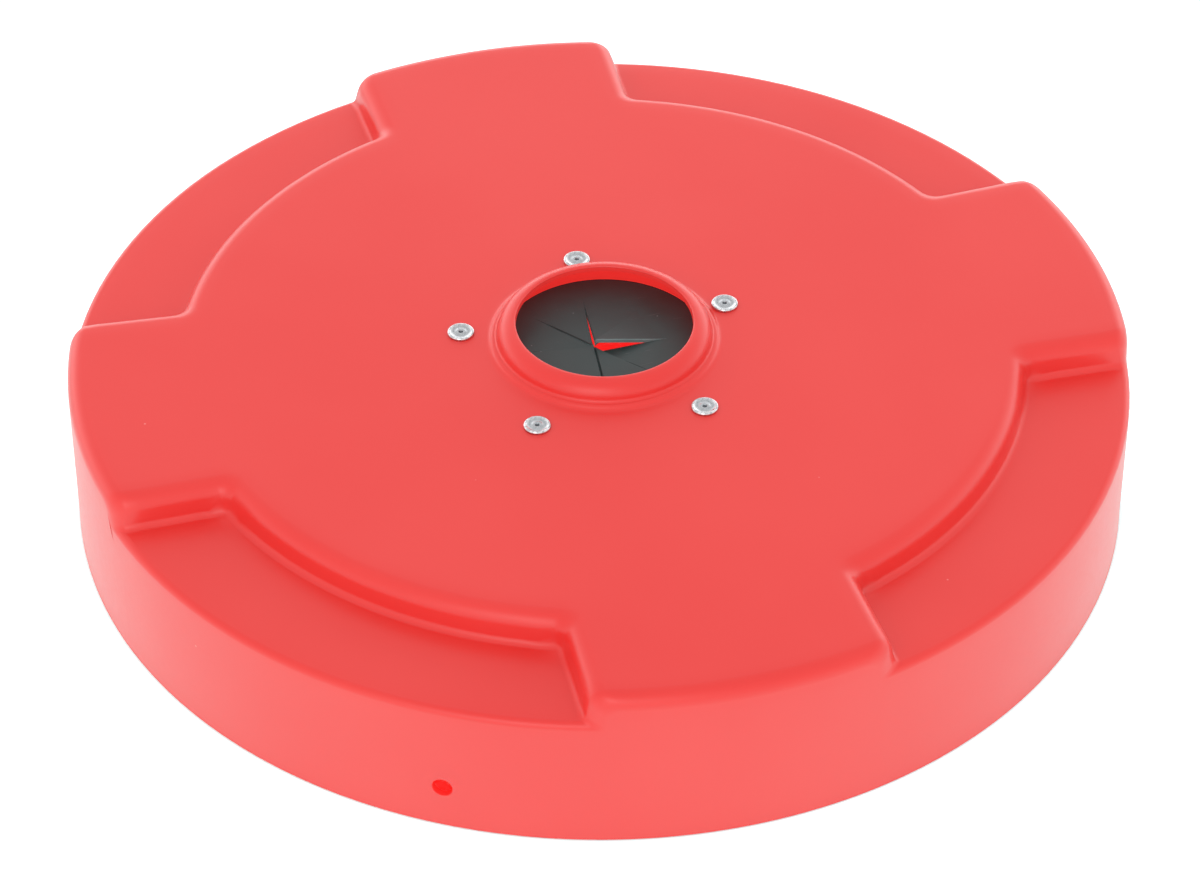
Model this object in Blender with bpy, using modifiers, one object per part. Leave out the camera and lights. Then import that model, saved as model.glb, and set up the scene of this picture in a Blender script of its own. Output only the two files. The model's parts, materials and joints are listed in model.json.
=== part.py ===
"""Round open-bottomed drum lid with a slit rubber feed-through in its middle.

A moulded polyethylene shell drops over the rim of a drum. Its top has four raised lobes and, between
them, four recesses whose floors rest on the drum. A raised collar rings the opening. A rubber sheet
under the opening is slit into eight flaps that hinge down, and five blind rivets with backing washers
hold it. +Z is up, and the origin is in the middle of the open bottom.
"""
import bpy
import bmesh
from math import asin, atan2, cos, hypot, pi, radians, sin, sqrt, tan
from mathutils import Matrix, Vector

MM = 0.001

# Shell
LID_RADIUS = 305.0 * MM
LID_HEIGHT = 103.0 * MM  # to the flat top plate
WALL = 4.2 * MM
LOBES = 4
LOBE_ROUND = 9.0 * MM  # outer top edge of a raised lobe
RECESS_ROUND = 4.5 * MM  # outer top edge of a recess floor
TIGHTEST = 0.9  # share of the inner skin's rounding that a recess may take away
SKIRT_FREE_HEIGHT = 60.0 * MM  # below this the skirt is the same all round

# Recesses: the step down from the plate, measured from where its upper rounding begins
RECESS_DEPTH = 18.7 * MM
RECESS_INNER_RADIUS = 233.5 * MM
LOBE_SIDE_DISTANCES = (61.3 * MM, 58.8 * MM, 61.3 * MM, 61.3 * MM)  # from each lobe's axis to its side
LOBE_TURNS = (radians(0.8), radians(-0.5), radians(-1.9), 0.0)  # of each lobe from an even spacing
LOBE_SIDE_TAPER = radians(2.5)  # the sides open outwards from the lobe's axis
STEP_ROUND = 10.0 * MM
STEP_FILLET = 4.0 * MM
STEP_LEAN = radians(82)  # steepest angle of the step
STEP_CORNER = 9.0 * MM  # plan rounding of a recess's inner corners
LOBE_CORNER = 14.0 * MM  # plan rounding of a lobe's outer corners
LOBE_CORNER_TURN = 0.7  # share of that rounding reached at the skirt

# Collar
COLLAR_CENTRE = Vector((2.4, -1.7, 0)) * MM
LIP_RADIUS = 50.8 * MM
LIP_HEIGHT = 115.8 * MM
LIP_FLAT = 1.0 * MM  # from the opening's edge to the crest of the lip
LIP_EDGE = 3.6 * MM  # height of the trimmed edge round the opening
COLLAR_ROUND = 10.0 * MM
COLLAR_THROAT_RADIUS = 60.4 * MM  # inside the collar's foot
GROOVE_RADIUS = 61.5 * MM
GROOVE_HEIGHT = 2.6 * MM  # above the plate
BEAD_RADIUS = 63.2 * MM
BEAD_ROUND = 2.0 * MM
BEAD_RISE = 0.3 * MM  # of the bead's centre above the plate
COLLAR_FOOT_RADIUS = 66.0 * MM

# Side hole for a securing screw
SIDE_HOLE_AZIMUTH = radians(239)
SIDE_HOLE_HEIGHT = 27.7 * MM
SIDE_HOLE_RADIUS = 5.7 * MM

# Rubber sheet and its flaps
GAP = 0.3 * MM  # clearance between pieces that touch
SHEET_CENTRE = Vector((-1.5, -8.3, 0)) * MM
SHEET_RADIUS = 94.0 * MM
SHEET_THICKNESS = 2.5 * MM
SLIT_CENTRE = Vector((-3.6, -2.0, 0)) * MM
SLIT_LENGTH = 42.0 * MM
SLIT_GAP = 0.4 * MM
SLIT_AZIMUTH = radians(-6)
FLAPS = 8
FLAP_SAGS = tuple(radians(sag) for sag in (-7.0, -3.0, 0.5, 1.5, 1.0, 0.5, 0.5, 7.0))  # tip down
FLAP_ROOT_RELIEF = 1.2 * MM
FLAP_TIP_BLUNTING = 1.0 * MM
ROOT_ROUNDING = 0.98  # share of the half thickness that is rounded about the hinge

# Blind rivets
RIVETS = 5
RIVET_CIRCLE_RADIUS = 81.2 * MM
RIVET_AZIMUTH = radians(13)
RIVET_HOLE_RADIUS = 2.7 * MM
FLANGE_RADIUS = 7.75 * MM
FLANGE_THICKNESS = 1.6 * MM
FLANGE_ROUND = 0.55 * MM
# Top of the flange: (radius, depth below the flange's rim)
FLANGE_DISH = ((1.3 * MM, 0.9 * MM), (2.6 * MM, 0.55 * MM), (5.4 * MM, 0.15 * MM))
SHANK_RADIUS = 2.4 * MM
RIVET_BORE_RADIUS = 1.3 * MM
BULB_RADIUS = 3.7 * MM
BULB_ROUND = 1.6 * MM
BULB_SHOULDER = 0.4 * MM
BULB_LENGTH = 5.0 * MM
WASHER_RADIUS = 7.0 * MM
WASHER_THICKNESS = 1.2 * MM
WASHER_CHAMFER = 0.2 * MM
STEM_RADIUS = 0.95 * MM
STEM_HEAD_RADIUS = 2.1 * MM
STEM_HEAD_DROP = 1.2 * MM  # of the head's centre below the bulb
STEM_RECESS = 2.2 * MM  # broken end of the mandrel below the flange's top
STEM_BREAK_RADIUS = 0.67 * MM
STEM_BREAK_STEPS = (0.1 * MM, 0.5 * MM)  # depths of the broken end's worn edge

# Mesh fineness
PLATE_RING_RADIUS = 137.0 * MM  # middle ring of vertices on the plate
FLOOR_RING_INSET = 26.0 * MM  # from the skirt to the middle ring on a recess floor
STATIONS_ACROSS_LOBE = 2
STATIONS_ACROSS_RECESS = 3
ARC_STEPS = 3
RIVET_SIDES = 16
HOLE_SIDES = 16
SIDE_HOLE_SIDES = 20
SHEET_SIDES = 72
MANDREL_SIDES = 10

SPREAD_RADII = (110.0 * MM, 225.0 * MM)  # between them the stations gather along the lobes' sides
CENTRING_RADII = (95.0 * MM, 200.0 * MM)  # between them the rings turn concentric with the skirt
TINY = 0.01 * MM

# Derived places
PLATE_UNDERSIDE = LID_HEIGHT - WALL
SHEET_TOP = PLATE_UNDERSIDE - GAP
SHEET_MIDDLE = SHEET_TOP - SHEET_THICKNESS / 2
SHEET_BOTTOM = SHEET_TOP - SHEET_THICKNESS
WASHER_TOP = SHEET_BOTTOM - GAP
WASHER_BOTTOM = WASHER_TOP - WASHER_THICKNESS
FLANGE_BOTTOM = LID_HEIGHT + GAP
FLANGE_TOP = FLANGE_BOTTOM + FLANGE_THICKNESS
OCTANT = pi / LOBES
OPENING_APOTHEM = SLIT_LENGTH * cos(pi / FLAPS)
HINGE_APOTHEM = OPENING_APOTHEM - GAP - SHEET_THICKNESS / 2


def clear_scene():
    for old in list(bpy.data.objects):
        bpy.data.objects.remove(old, do_unlink=True)


def new_collection(name):
    collection = bpy.data.collections.new(name)
    bpy.context.scene.collection.children.link(collection)
    return collection


def material(name, colour, roughness, metallic=0.0):
    made = bpy.data.materials.new(name)
    made.use_nodes = True
    shader = made.node_tree.nodes["Principled BSDF"]
    shader.inputs["Base Color"].default_value = (*colour, 1.0)
    shader.inputs["Roughness"].default_value = roughness
    shader.inputs["Metallic"].default_value = metallic
    return made


def add_object(name, mesh, collection, finish=None):
    made = bpy.data.objects.new(name, mesh)
    collection.objects.link(made)
    if finish:
        mesh.materials.append(finish)
    return made


def evaluated_mesh(made, name):
    """A plain mesh of an object with its modifiers applied; the object is removed."""
    depsgraph = bpy.context.evaluated_depsgraph_get()
    mesh = bpy.data.meshes.new_from_object(made.evaluated_get(depsgraph))
    mesh.name = name
    bpy.data.objects.remove(made, do_unlink=True)
    return mesh


def turned_mesh(name, profile, steps, closed):
    """Turn a profile of (radius, height) points about Z."""
    outline = bpy.data.meshes.new(name + "_profile")
    points = [(radius, 0.0, height) for radius, height in profile]
    edges = [(i, i + 1) for i in range(len(points) - 1)]
    if closed:
        edges.append((len(points) - 1, 0))
    outline.from_pydata(points, edges, [])
    blank = add_object(name, outline, bpy.context.scene.collection)
    screw = blank.modifiers.new("turn", "SCREW")
    screw.axis = "Z"
    screw.steps = steps
    screw.render_steps = steps
    screw.use_merge_vertices = True
    screw.merge_threshold = 0.00001
    screw.use_smooth_shade = True
    mesh = evaluated_mesh(blank, name)
    shape = bmesh.new()
    shape.from_mesh(mesh)
    bmesh.ops.recalc_face_normals(shape, faces=shape.faces)
    shape.to_mesh(mesh)
    shape.free()
    return mesh


def shade(mesh, sharp_angle=35):
    mesh.shade_smooth()
    mesh.set_sharp_from_angle(angle=radians(sharp_angle))


def arc(centre, radius, start, end, steps):
    """Points of an arc in the (radius, height) plane; angles in degrees, counterclockwise from +radius."""
    angles = [radians(start + (end - start) * i / steps) for i in range(steps + 1)]
    return [(centre[0] + radius * cos(a), centre[1] + radius * sin(a)) for a in angles]


def cut(target, cutter, name):
    cutter.hide_render = True
    cutter.display_type = "WIRE"
    boolean = target.modifiers.new(name, "BOOLEAN")
    boolean.operation = "DIFFERENCE"
    boolean.object = cutter


def cylinder_cutter(name, radius, length, sides, collection):
    mesh = bpy.data.meshes.new(name)
    shape = bmesh.new()
    bmesh.ops.create_cone(
        shape, cap_ends=True, segments=sides, radius1=radius, radius2=radius, depth=length
    )
    shape.to_mesh(mesh)
    shape.free()
    return add_object(name, mesh, collection)


def polar(radius, azimuth, height=0.0):
    return Vector((radius * cos(azimuth), radius * sin(azimuth), height))


# ---------------------------------------------------------------- shell


def step_profile(upper_round, lower_round):
    """Points (distance, drop) across the step from the plate down to a recess floor."""
    rounding = (upper_round + lower_round) * (1 - cos(STEP_LEAN))
    straight = (RECESS_DEPTH - rounding) / sin(STEP_LEAN)
    upper = [STEP_LEAN * i / ARC_STEPS for i in range(ARC_STEPS + 1)]
    points = [(upper_round * sin(a), upper_round * (1 - cos(a))) for a in upper]
    width = (upper_round + lower_round) * sin(STEP_LEAN) + straight * cos(STEP_LEAN)
    points += [
        (width - lower_round * sin(a), RECESS_DEPTH - lower_round * (1 - cos(a)))
        for a in reversed(upper)
    ]
    return points


OUTER_STEP = step_profile(STEP_ROUND, STEP_FILLET)
INNER_STEP = step_profile(STEP_ROUND - WALL, STEP_FILLET + WALL)
STEP_WIDTH = OUTER_STEP[-1][0]
STATIONS_PER_OCTANT = STATIONS_ACROSS_LOBE + len(OUTER_STEP) - 1 + STATIONS_ACROSS_RECESS


def interpolate(x, points):
    """Height at x on a polyline of (x, height) points, level beyond its ends."""
    if x <= points[0][0]:
        return points[0][1]
    for (x0, y0), (x1, y1) in zip(points, points[1:]):
        if x <= x1:
            return y0 + (y1 - y0) * (x - x0) / (x1 - x0)
    return points[-1][1]


def smooth_step(x, low, high):
    t = min(1.0, max(0.0, (x - low) / (high - low)))
    return t * t * (3 - 2 * t)


def smooth_min(a, b, blend):
    """The smaller of a and b, eased where they are within blend of each other."""
    overlap = max(blend - abs(a - b), 0.0) / blend
    return min(a, b) - overlap * overlap * blend / 4


def corner_easing(radius):
    """How far a lobe's side turns in towards its axis as it nears the skirt."""
    inset = min(max(radius - (LID_RADIUS - LOBE_CORNER), 0.0), LOBE_CORNER)
    return LOBE_CORNER_TURN * (LOBE_CORNER - sqrt(LOBE_CORNER**2 - inset**2))


def lobe_side(index, radius, step, half_width, octant):
    """Angle from a lobe's axis of one station line, which runs along the lobe's side at its radius."""
    side = half_width - corner_easing(radius)
    reach = max(radius, RECESS_INNER_RADIUS)
    last = STATIONS_ACROSS_LOBE + len(step) - 1
    if index <= STATIONS_ACROSS_LOBE:
        return (LOBE_SIDE_TAPER + asin(side / reach)) * index / STATIONS_ACROSS_LOBE
    if index <= last:
        return LOBE_SIDE_TAPER + asin((side + step[index - STATIONS_ACROSS_LOBE][0]) / reach)
    edge = LOBE_SIDE_TAPER + asin((side + STEP_WIDTH) / reach)
    return edge + (octant - edge) * (index - last) / STATIONS_ACROSS_RECESS


def recess_distance(radius, from_axis, half_width):
    """Distance into the recess from the start of its step; negative on the plate and lobes."""
    beside = radius * sin(from_axis - LOBE_SIDE_TAPER) - half_width + corner_easing(radius)
    return smooth_min(beside, radius - RECESS_INNER_RADIUS, STEP_CORNER)


def shell_section():
    """Closed section of the shell wall through a lobe: outer skin, then inner skin, with a skin flag."""
    collar_top = (LIP_RADIUS + LIP_FLAT, LIP_HEIGHT - COLLAR_ROUND)
    outer = arc(collar_top, COLLAR_ROUND, 90, 12, 5)
    outer += [(GROOVE_RADIUS, LID_HEIGHT + GROOVE_HEIGHT)]
    outer += arc((BEAD_RADIUS, LID_HEIGHT + BEAD_RISE), BEAD_ROUND, 75, 15, 2)
    outer += [(COLLAR_FOOT_RADIUS, LID_HEIGHT), (PLATE_RING_RADIUS, LID_HEIGHT)]
    outer += [(RECESS_INNER_RADIUS + distance, LID_HEIGHT) for distance, _ in OUTER_STEP]
    outer += [(LID_RADIUS - FLOOR_RING_INSET, LID_HEIGHT)]
    shoulder = (LID_RADIUS - LOBE_ROUND, LID_HEIGHT - LOBE_ROUND)
    outer += arc(shoulder, LOBE_ROUND, 90, 0, 4)
    outer += [(LID_RADIUS, SKIRT_FREE_HEIGHT), (LID_RADIUS, 0.0)]

    inner = [(LID_RADIUS - WALL, 0.0), (LID_RADIUS - WALL, SKIRT_FREE_HEIGHT)]
    inner += arc(shoulder, LOBE_ROUND - WALL, 0, 90, 3)
    inner += [(LID_RADIUS - FLOOR_RING_INSET, PLATE_UNDERSIDE)]
    inner += [(RECESS_INNER_RADIUS + distance, PLATE_UNDERSIDE) for distance, _ in reversed(INNER_STEP)]
    inner += [(PLATE_RING_RADIUS, PLATE_UNDERSIDE), (COLLAR_FOOT_RADIUS, PLATE_UNDERSIDE)]
    inner += [(COLLAR_THROAT_RADIUS, PLATE_UNDERSIDE)]
    inner += arc(collar_top, COLLAR_ROUND - WALL, 12, 80, 3)
    inner += [(LIP_RADIUS, LIP_HEIGHT - LIP_EDGE)]
    return outer, inner


def press(position, station, radius, outer_skin):
    """Place one turned vertex: along the lobe's side, down into a recess, and with the collar off centre."""
    lobe = round(station / (2 * STATIONS_PER_OCTANT))
    offset = station - lobe * 2 * STATIONS_PER_OCTANT
    side = 1 if offset > 0 else -1
    reach = (position.z - SKIRT_FREE_HEIGHT) / (LID_HEIGHT - LOBE_ROUND - SKIRT_FREE_HEIGHT)
    reach = min(1.0, max(0.0, reach))
    turn = LOBE_TURNS[lobe % LOBES] * reach
    half_width = LOBE_SIDE_DISTANCES[lobe % LOBES]
    step = OUTER_STEP if outer_skin else INNER_STEP
    inset = 0.0 if outer_skin else WALL
    even = abs(offset) * OCTANT / STATIONS_PER_OCTANT
    along_side = lobe_side(abs(offset), radius, step, half_width, OCTANT - side * turn)
    spread = smooth_step(radius, *SPREAD_RADII)
    angle = even + (along_side - even) * spread
    azimuth = lobe * 2 * OCTANT + turn * spread + side * angle
    drop = interpolate(recess_distance(radius, angle, half_width), step)

    placed = polar(radius, azimuth, position.z)
    if radius > LID_RADIUS - LOBE_ROUND - TINY and reach > 0:
        rounding = LOBE_ROUND - inset
        tighter = 1 - min(LOBE_ROUND - RECESS_ROUND, TIGHTEST * rounding) / rounding * drop / RECESS_DEPTH
        edge_radius = LID_RADIUS - inset
        top = LID_HEIGHT - inset
        placed = polar(edge_radius - (edge_radius - radius) * tighter, azimuth)
        placed.z = top - (top - position.z) * tighter
    placed.z -= drop * reach
    return placed + COLLAR_CENTRE * (1 - smooth_step(radius, *CENTRING_RADII))


def make_shell(collection, cutters, finish):
    outer, inner = shell_section()
    section = outer + inner
    stations = 2 * LOBES * STATIONS_PER_OCTANT
    mesh = turned_mesh("lid_shell", section, stations, closed=True)
    for vertex in mesh.vertices:
        radius, height = hypot(vertex.co.x, vertex.co.y), vertex.co.z
        turned = (atan2(vertex.co.y, vertex.co.x) % (2 * pi)) / (2 * pi)
        misses = [hypot(point[0] - radius, point[1] - height) for point in section]
        nearest = misses.index(min(misses))
        vertex.co = press(
            vertex.co, round(turned * stations) % stations, section[nearest][0], nearest < len(outer)
        )
    shade(mesh)
    shell = add_object("lid_shell", mesh, collection, finish)
    for index in range(RIVETS):
        hole = cylinder_cutter(
            f"rivet_hole_{index + 1}", RIVET_HOLE_RADIUS, 3 * WALL, HOLE_SIDES, cutters
        )
        hole.location = rivet_place(index) + Vector((0, 0, LID_HEIGHT - WALL / 2))
        cut(shell, hole, hole.name)
    side_hole = cylinder_cutter("side_hole", SIDE_HOLE_RADIUS, 6 * WALL, SIDE_HOLE_SIDES, cutters)
    side_hole.location = polar(LID_RADIUS, SIDE_HOLE_AZIMUTH, SIDE_HOLE_HEIGHT)
    side_hole.rotation_euler = (0, pi / 2, SIDE_HOLE_AZIMUTH)
    cut(shell, side_hole, "side_hole")
    return shell


# ---------------------------------------------------------------- rubber sheet


def make_sheet_rim(collection, cutters, finish):
    mesh = bpy.data.meshes.new("diaphragm_rim")
    shape = bmesh.new()
    bmesh.ops.create_cone(
        shape,
        cap_ends=True,
        segments=SHEET_SIDES,
        radius1=SHEET_RADIUS,
        radius2=SHEET_RADIUS,
        depth=SHEET_THICKNESS,
        matrix=Matrix.Translation(SHEET_CENTRE + Vector((0, 0, SHEET_MIDDLE))),
    )
    shape.to_mesh(mesh)
    shape.free()
    shade(mesh)
    rim = add_object("diaphragm_rim", mesh, collection, finish)
    opening = cylinder_cutter("flap_opening", SLIT_LENGTH, 4 * SHEET_THICKNESS, FLAPS, cutters)
    opening.location = SLIT_CENTRE + Vector((0, 0, SHEET_MIDDLE))
    opening.rotation_euler = (0, 0, SLIT_AZIMUTH)
    cut(rim, opening, "flap_opening")
    for index in range(RIVETS):
        hole = cylinder_cutter(
            f"sheet_hole_{index + 1}", RIVET_HOLE_RADIUS, 4 * SHEET_THICKNESS, HOLE_SIDES, cutters
        )
        hole.location = rivet_place(index) + Vector((0, 0, SHEET_MIDDLE))
        cut(rim, hole, hole.name)
    return rim


def flap_mesh(name):
    """A wedge cut from a strip of sheet whose root edge is rounded about the hinge; the tip is at -X."""
    root = SHEET_THICKNESS / 2
    shape = bmesh.new()
    bmesh.ops.create_cube(shape, size=1.0)
    length = HINGE_APOTHEM + root
    bmesh.ops.scale(shape, vec=(length, SLIT_LENGTH, SHEET_THICKNESS), verts=shape.verts)
    bmesh.ops.translate(shape, vec=(root - length / 2, 0, 0), verts=shape.verts)
    root_edges = [
        edge
        for edge in shape.edges
        if all(v.co.x > 0 for v in edge.verts) and edge.verts[0].co.z * edge.verts[1].co.z > 0
    ]
    bmesh.ops.bevel(
        shape, geom=root_edges, offset=root * ROOT_ROUNDING, segments=4, profile=0.5, affect="EDGES"
    )
    half = pi / FLAPS
    root_corner = HINGE_APOTHEM * tan(half) - FLAP_ROOT_RELIEF
    for side in (1, -1):
        slit_plane = Vector((-HINGE_APOTHEM, side * -SLIT_GAP / 2 / cos(half), 0))
        cap_cut(shape, slit_plane, Vector((-sin(half), side * cos(half), 0)))
        cap_cut(shape, Vector((0, side * root_corner, 0)), Vector((0, side, 0)))
    cap_cut(shape, Vector((FLAP_TIP_BLUNTING - HINGE_APOTHEM, 0, 0)), Vector((-1, 0, 0)))
    bmesh.ops.recalc_face_normals(shape, faces=shape.faces)
    mesh = bpy.data.meshes.new(name)
    shape.to_mesh(mesh)
    shape.free()
    shade(mesh)
    return mesh


def cap_cut(shape, point, normal):
    """Cut away what lies beyond a plane and close the cut."""
    geometry = list(shape.verts) + list(shape.edges) + list(shape.faces)
    result = bmesh.ops.bisect_plane(
        shape, geom=geometry, dist=1e-7, plane_co=point, plane_no=normal, clear_outer=True
    )
    edges = [item for item in result["geom_cut"] if isinstance(item, bmesh.types.BMEdge)]
    bmesh.ops.holes_fill(shape, edges=edges, sides=0)


def flap_azimuth(index):
    return SLIT_AZIMUTH + (2 * index + 1) * pi / FLAPS


def make_flaps(collection, finish):
    mesh = flap_mesh("flap")
    mesh.materials.append(finish)
    for index in range(FLAPS):
        azimuth = flap_azimuth(index)
        flap = bpy.data.objects.new(f"flap_{index + 1}", mesh)
        collection.objects.link(flap)
        hinge = SLIT_CENTRE + polar(HINGE_APOTHEM, azimuth, SHEET_MIDDLE)
        tilt = Matrix.Rotation(azimuth, 4, "Z") @ Matrix.Rotation(-FLAP_SAGS[index], 4, "Y")
        flap.matrix_world = Matrix.Translation(hinge) @ tilt


# ---------------------------------------------------------------- rivets


def rivet_place(index):
    return SHEET_CENTRE + polar(RIVET_CIRCLE_RADIUS, RIVET_AZIMUTH + index * 2 * pi / RIVETS)


def rivet_profile():
    """Closed section of a set blind rivet: dished flange, shank, and the bulb formed on the blind side."""
    bulb_top = WASHER_BOTTOM - GAP
    profile = [(radius, FLANGE_TOP - depth) for radius, depth in FLANGE_DISH]
    profile += arc((FLANGE_RADIUS - FLANGE_ROUND, FLANGE_TOP - FLANGE_ROUND), FLANGE_ROUND, 90, 0, 2)
    profile += [(FLANGE_RADIUS, FLANGE_BOTTOM)]
    profile += [(SHANK_RADIUS, FLANGE_BOTTOM), (SHANK_RADIUS, bulb_top)]
    profile += [(BULB_RADIUS - BULB_SHOULDER, bulb_top)]
    bulge = (BULB_RADIUS - BULB_ROUND, bulb_top - BULB_ROUND - BULB_SHOULDER / 2)
    profile += arc(bulge, BULB_ROUND, 45, -45, 2)
    profile += [(SHANK_RADIUS, bulb_top - BULB_LENGTH), (RIVET_BORE_RADIUS, bulb_top - BULB_LENGTH)]
    return profile


def mandrel_profile():
    """Half section of the broken mandrel left in a rivet, from its broken end to its head."""
    head_top = WASHER_BOTTOM - GAP - BULB_LENGTH - GAP
    broken_end = FLANGE_TOP - STEM_RECESS
    profile = [(0.0, broken_end)]
    profile += [
        (radius, broken_end - depth)
        for radius, depth in zip((STEM_BREAK_RADIUS, STEM_RADIUS), STEM_BREAK_STEPS)
    ]
    profile += [(STEM_RADIUS, head_top)]
    profile += arc((0.0, head_top - STEM_HEAD_DROP), STEM_HEAD_RADIUS, 28, -90, 4)
    profile[-1] = (0.0, profile[-1][1])
    return profile


def washer_profile():
    """Closed section of a backing washer with eased outer edges."""
    return [
        (RIVET_HOLE_RADIUS, WASHER_TOP),
        (WASHER_RADIUS - WASHER_CHAMFER, WASHER_TOP),
        (WASHER_RADIUS, WASHER_TOP - WASHER_CHAMFER),
        (WASHER_RADIUS, WASHER_BOTTOM + WASHER_CHAMFER),
        (WASHER_RADIUS - WASHER_CHAMFER, WASHER_BOTTOM),
        (RIVET_HOLE_RADIUS, WASHER_BOTTOM),
    ]


def make_fasteners(collection, aluminium, steel):
    rivet = turned_mesh("rivet", rivet_profile(), RIVET_SIDES, closed=True)
    mandrel = turned_mesh("mandrel", mandrel_profile(), MANDREL_SIDES, closed=False)
    washer = turned_mesh("washer", washer_profile(), RIVET_SIDES, closed=True)
    for mesh, finish in ((rivet, aluminium), (mandrel, steel), (washer, aluminium)):
        shade(mesh)
        mesh.materials.append(finish)
        for index in range(RIVETS):
            fastener = bpy.data.objects.new(f"{mesh.name}_{index + 1}", mesh)
            fastener.location = rivet_place(index)
            collection.objects.link(fastener)


def build():
    clear_scene()
    parts = new_collection("drum_lid")
    cutters = new_collection("cutters")
    red_plastic = material("red_polyethylene", (0.85, 0.10, 0.09), 0.42)
    rubber = material("black_rubber", (0.035, 0.035, 0.036), 0.65)
    aluminium = material("aluminium", (0.80, 0.81, 0.82), 0.30, 1.0)
    steel = material("steel", (0.45, 0.45, 0.46), 0.40, 1.0)
    make_shell(parts, cutters, red_plastic)
    make_sheet_rim(parts, cutters, rubber)
    make_flaps(parts, rubber)
    make_fasteners(parts, aluminium, steel)


build()
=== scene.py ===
"""Looks of the drum lid: a fine moulded shell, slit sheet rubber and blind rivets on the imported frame.

Lengths are metres in the frame of the CAD. The shell repeats the CAD's own outline with finer curves.
"""
import json
from math import asin, cos, hypot, pi, radians, sin, sqrt, tan

import bpy
from mathutils import Matrix, Vector, noise


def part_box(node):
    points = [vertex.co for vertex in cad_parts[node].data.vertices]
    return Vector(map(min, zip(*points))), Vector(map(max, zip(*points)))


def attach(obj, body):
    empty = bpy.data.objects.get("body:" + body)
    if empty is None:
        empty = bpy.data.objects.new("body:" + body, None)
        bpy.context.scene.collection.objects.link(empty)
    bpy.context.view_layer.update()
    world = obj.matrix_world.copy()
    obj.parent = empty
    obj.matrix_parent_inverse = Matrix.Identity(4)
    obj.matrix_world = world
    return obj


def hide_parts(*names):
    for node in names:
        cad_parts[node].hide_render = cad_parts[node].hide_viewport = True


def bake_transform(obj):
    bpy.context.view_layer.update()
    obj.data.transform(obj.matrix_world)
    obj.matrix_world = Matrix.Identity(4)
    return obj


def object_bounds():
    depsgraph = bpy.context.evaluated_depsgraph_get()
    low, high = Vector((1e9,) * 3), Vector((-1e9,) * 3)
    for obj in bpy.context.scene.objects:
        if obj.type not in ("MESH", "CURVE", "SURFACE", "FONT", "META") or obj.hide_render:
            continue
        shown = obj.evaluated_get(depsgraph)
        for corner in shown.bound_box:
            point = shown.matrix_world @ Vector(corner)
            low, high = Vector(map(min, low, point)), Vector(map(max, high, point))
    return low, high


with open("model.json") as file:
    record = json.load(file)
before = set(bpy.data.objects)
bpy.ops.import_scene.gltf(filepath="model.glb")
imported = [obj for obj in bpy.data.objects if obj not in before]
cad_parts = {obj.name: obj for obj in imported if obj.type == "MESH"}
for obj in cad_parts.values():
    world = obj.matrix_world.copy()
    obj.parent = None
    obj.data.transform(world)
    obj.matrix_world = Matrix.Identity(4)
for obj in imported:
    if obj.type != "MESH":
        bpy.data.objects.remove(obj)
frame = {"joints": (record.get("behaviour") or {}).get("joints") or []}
cad_low, cad_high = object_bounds()

MM = 0.001

# Shell, as in the CAD
LID_RADIUS = cad_high.y
LIP_HEIGHT = cad_high.z
LID_HEIGHT = LIP_HEIGHT - 12.8 * MM  # to the flat top plate
WALL = 4.2 * MM
LOBES = 4
LOBE_ROUND = 9.0 * MM  # outer top edge of a raised lobe
RECESS_ROUND = 4.5 * MM  # outer top edge of a recess floor
TIGHTEST = 0.9  # share of the inner skin's rounding that a recess may take away
SKIRT_FREE_HEIGHT = 60.0 * MM  # below this the skirt is the same all round
TRIMMED_EDGE = 0.8 * MM  # eased off the skirt's lower edge
RECESS_DEPTH = 18.7 * MM
RECESS_INNER_RADIUS = 233.5 * MM
LOBE_SIDE_DISTANCES = (61.3 * MM, 58.8 * MM, 61.3 * MM, 61.3 * MM)
LOBE_TURNS = (radians(0.8), radians(-0.5), radians(-1.9), 0.0)
LOBE_SIDE_TAPER = radians(2.5)
STEP_ROUND = 10.0 * MM
STEP_FILLET = 4.0 * MM
STEP_LEAN = radians(82)
STEP_CORNER = 9.0 * MM
LOBE_CORNER = 14.0 * MM  # plan rounding of a lobe's outer corners
LOBE_CORNER_TURN = 0.7  # share of that rounding reached at the skirt
COLLAR_CENTRE = Vector((2.4, -1.7, 0)) * MM
LIP_RADIUS = 50.8 * MM
COLLAR_ROUND = 10.0 * MM
COLLAR_FOOT_RADIUS = 66.0 * MM
COLLAR_THROAT_RADIUS = 60.4 * MM  # inside the collar's foot
LIP_FLAT = 1.0 * MM  # from the opening's edge to the crest of the lip
LIP_EDGE_ROUND = 1.2 * MM
# From the collar down to the plate: (radius, height above the plate), with a groove and a bead
COLLAR_FOOT = (
    (62.0 * MM, 3.3 * MM),
    (62.9 * MM, 2.35 * MM),
    (64.0 * MM, 2.15 * MM),
    (65.1 * MM, 1.6 * MM),
    (66.0 * MM, 0.7 * MM),
    (67.3 * MM, 0.15 * MM),
    (69.5 * MM, 0.0),
)
SIDE_HOLE_AZIMUTH = radians(239)
SIDE_HOLE_HEIGHT = 27.7 * MM
SIDE_HOLE_RADIUS = 5.7 * MM
SIDE_HOLE_FLARE = 0.5 * MM
SPREAD_RADII = (110.0 * MM, 225.0 * MM)  # between them the stations gather along the lobes' sides
CENTRING_RADII = (95.0 * MM, 200.0 * MM)  # between them the rings turn concentric with the skirt
PLATE_UNDERSIDE = LID_HEIGHT - WALL

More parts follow.
